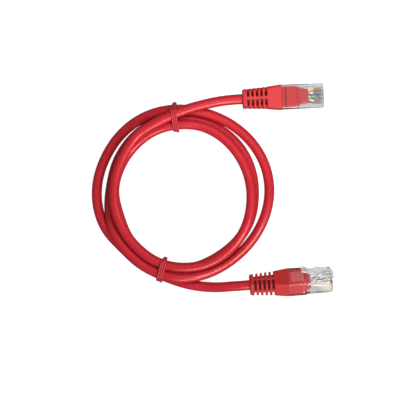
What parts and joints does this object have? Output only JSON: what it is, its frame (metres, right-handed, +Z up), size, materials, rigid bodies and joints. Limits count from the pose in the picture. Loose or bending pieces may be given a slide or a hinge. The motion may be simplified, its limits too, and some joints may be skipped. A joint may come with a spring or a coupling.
{
  "type": "ethernet patch cable",
  "caption": "Coiled round red network patch cable held by thin ties, with a clear latching modular plug and a slotted moulded boot on each end.",
  "frame": {"origin": "on the surface that the cable lies on, under the middle of the box around the two plugs and their boots", "axes": "+Z up from the surface, +X the way both plugs point within 5 degrees, +Y from plug B towards plug A"},
  "size_m": [0.1195, 0.1048, 0.0147],
  "materials": {
    "jacket": "semi-gloss PVC",
    "boot": "satin moulded PVC",
    "tie": "satin PVC coated tie",
    "clear_plug": "clear polycarbonate",
    "gold": "gold plate over phosphor bronze",
    "copper": "bare stranded copper",
    "wire_white_orange": "solid polyethylene insulation",
    "wire_orange": "solid polyethylene insulation",
    "wire_white_green": "solid polyethylene insulation",
    "wire_blue": "solid polyethylene insulation",
    "wire_white_blue": "solid polyethylene insulation",
    "wire_green": "solid polyethylene insulation",
    "wire_white_brown": "solid polyethylene insulation",
    "wire_brown": "solid polyethylene insulation"
  },
  "bodies": {
    "root": {"cable_coil": "jacket", "cable_tail_a": "jacket", "cable_tail_b": "jacket", "tie_top": "tie", "tie_bottom": "tie", "boot_a": "boot", "housing_a": "clear_plug", "contacts_a": "gold", "jacket_end_a": "jacket", "copper_cores_a": "copper", "wire_white_orange_a": "wire_white_orange", "wire_orange_a": "wire_orange", "wire_white_green_a": "wire_white_green", "wire_blue_a": "wire_blue", "wire_white_blue_a": "wire_white_blue", "wire_green_a": "wire_green", "wire_white_brown_a": "wire_white_brown", "wire_brown_a": "wire_brown", "boot_b": "boot", "housing_b": "clear_plug", "contacts_b": "gold", "jacket_end_b": "jacket", "copper_cores_b": "copper", "wire_white_orange_b": "wire_white_orange", "wire_orange_b": "wire_orange", "wire_white_green_b": "wire_white_green", "wire_blue_b": "wire_blue", "wire_white_blue_b": "wire_white_blue", "wire_green_b": "wire_green", "wire_white_brown_b": "wire_white_brown", "wire_brown_b": "wire_brown"},
    "latch_a": {"latch_a": "clear_plug"},
    "latch_b": {"latch_b": "clear_plug"}
  },
  "joints": [
    {"name": "latch_a_press", "type": "hinge", "parent": "root", "child": "latch_a", "pos_m": [0.01646, 0.04653, 0.00535], "axis": [-0.0471, 0.9989, 0], "range_deg": [0, 14], "stiffness_Nm_per_rad": 0.25},
    {"name": "latch_b_press", "type": "hinge", "parent": "root", "child": "latch_b", "pos_m": [0.02049, -0.04121, 0.00968], "axis": [0.0494, -0.6802, 0.7314], "range_deg": [0, 14], "stiffness_Nm_per_rad": 0.25}
  ]
}
